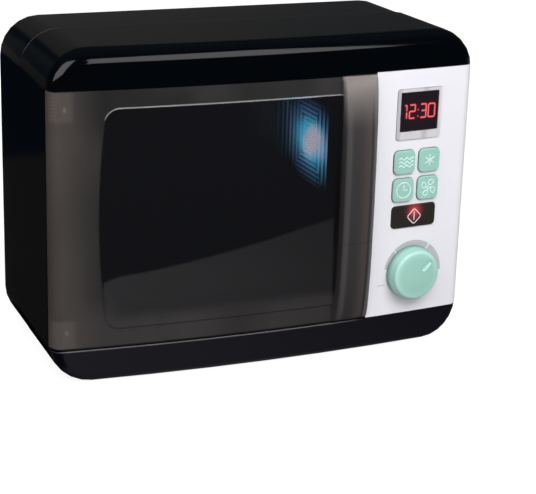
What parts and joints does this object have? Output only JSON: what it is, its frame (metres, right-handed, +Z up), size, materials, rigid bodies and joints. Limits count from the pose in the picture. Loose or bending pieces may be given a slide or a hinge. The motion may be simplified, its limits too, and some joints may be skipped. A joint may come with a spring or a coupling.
{
  "type": "toy microwave oven",
  "caption": "Toy microwave oven with a bowed front, a smoked side-hinged door with a pillar handle, a lit cavity, and a panel with display, keys and a knob.",
  "frame": {"origin": "middle of the underside of the casing, on the surface it stands on", "axes": "+X to the right seen from the front (the width), +Y to the back, +Z up"},
  "size_m": [0.2801, 0.1388, 0.208],
  "materials": {
    "black_shell": "semi-gloss black",
    "black_inner": "satin black",
    "smoked_door": "smoked, part frosted and part polished",
    "white_panel": "semi-gloss white",
    "mint_key": "satin mint",
    "black_key": "semi-gloss black",
    "silver_trim": "silver painted",
    "display_lens": "polished dark",
    "clear_lens": "clear, ridged",
    "steel": "zinc plated",
    "board_green": "glass-fibre board",
    "chip_black": "matt black",
    "blue_lamp": "water clear",
    "white_nylon": "natural nylon",
    "speaker_grey": "satin grey",
    "battery_jacket": "plain printed jacket"
  },
  "bodies": {
    "casing": {"front_housing": "black_shell", "rear_cover": "black_shell", "cavity_liner": "black_inner", "control_panel": "white_panel", "hinge_pin_lower": "steel", "hinge_pin_upper": "steel", "door_catch": "white_nylon", "display_bezel": "silver_trim", "display_window": "display_lens", "display_module": "chip_black", "click_spring": "steel", "circuit_board": "board_green", "light_lens": "clear_lens", "lamp_led": "blue_lamp", "lamp_board": "board_green", "speaker": "speaker_grey", "speaker_cone": "chip_black", "battery_tray": "black_inner", "battery_door": "black_shell", "battery_screw": "steel", "board_screw_1": "steel", "board_screw_2": "steel", "board_screw_3": "steel", "board_screw_4": "steel", "battery_1": "battery_jacket", "battery_contact_1": "steel", "battery_2": "battery_jacket", "battery_contact_2": "steel", "battery_3": "battery_jacket", "battery_contact_3": "steel", "case_screw_1": "steel", "case_screw_2": "steel", "case_screw_3": "steel", "case_screw_4": "steel", "case_screw_5": "steel", "case_screw_6": "steel"},
    "door": {"door": "smoked_door"},
    "knob": {"knob": "mint_key", "knob_shaft": "white_nylon", "knob_retainer": "steel", "click_wheel": "white_nylon"},
    "key_waves": {"button_waves": "mint_key"},
    "key_snowflake": {"button_snowflake": "mint_key"},
    "key_clock": {"button_clock": "mint_key"},
    "key_fan": {"button_fan": "mint_key"},
    "key_start": {"button_start": "black_key"}
  },
  "joints": [
    {"name": "door_hinge", "type": "hinge", "parent": "casing", "child": "door", "pos_m": [-0.133, -0.05165, 0.1032], "axis": [0, 0, -1], "range_deg": [0, 105]},
    {"name": "knob_turn", "type": "hinge", "parent": "casing", "child": "knob", "pos_m": [0.1, -0.06167, 0.0506], "axis": [-0.0783, 0.9969, 0], "range_deg": [-158, 46]},
    {"name": "press_waves", "type": "slide", "parent": "casing", "child": "key_waves", "axis": [-0.0783, 0.9969, 0], "range_m": [0, 0.0015], "stiffness_N_per_m": 700, "springref_m": -0.0004},
    {"name": "press_snowflake", "type": "slide", "parent": "casing", "child": "key_snowflake", "axis": [-0.0783, 0.9969, 0], "range_m": [0, 0.0015], "stiffness_N_per_m": 700, "springref_m": -0.0004},
    {"name": "press_clock", "type": "slide", "parent": "casing", "child": "key_clock", "axis": [-0.0783, 0.9969, 0], "range_m": [0, 0.0015], "stiffness_N_per_m": 700, "springref_m": -0.0004},
    {"name": "press_fan", "type": "slide", "parent": "casing", "child": "key_fan", "axis": [-0.0783, 0.9969, 0], "range_m": [0, 0.0015], "stiffness_N_per_m": 700, "springref_m": -0.0004},
    {"name": "press_start", "type": "slide", "parent": "casing", "child": "key_start", "axis": [-0.0783, 0.9969, 0], "range_m": [0, 0.0015], "stiffness_N_per_m": 700, "springref_m": -0.0004}
  ]
}
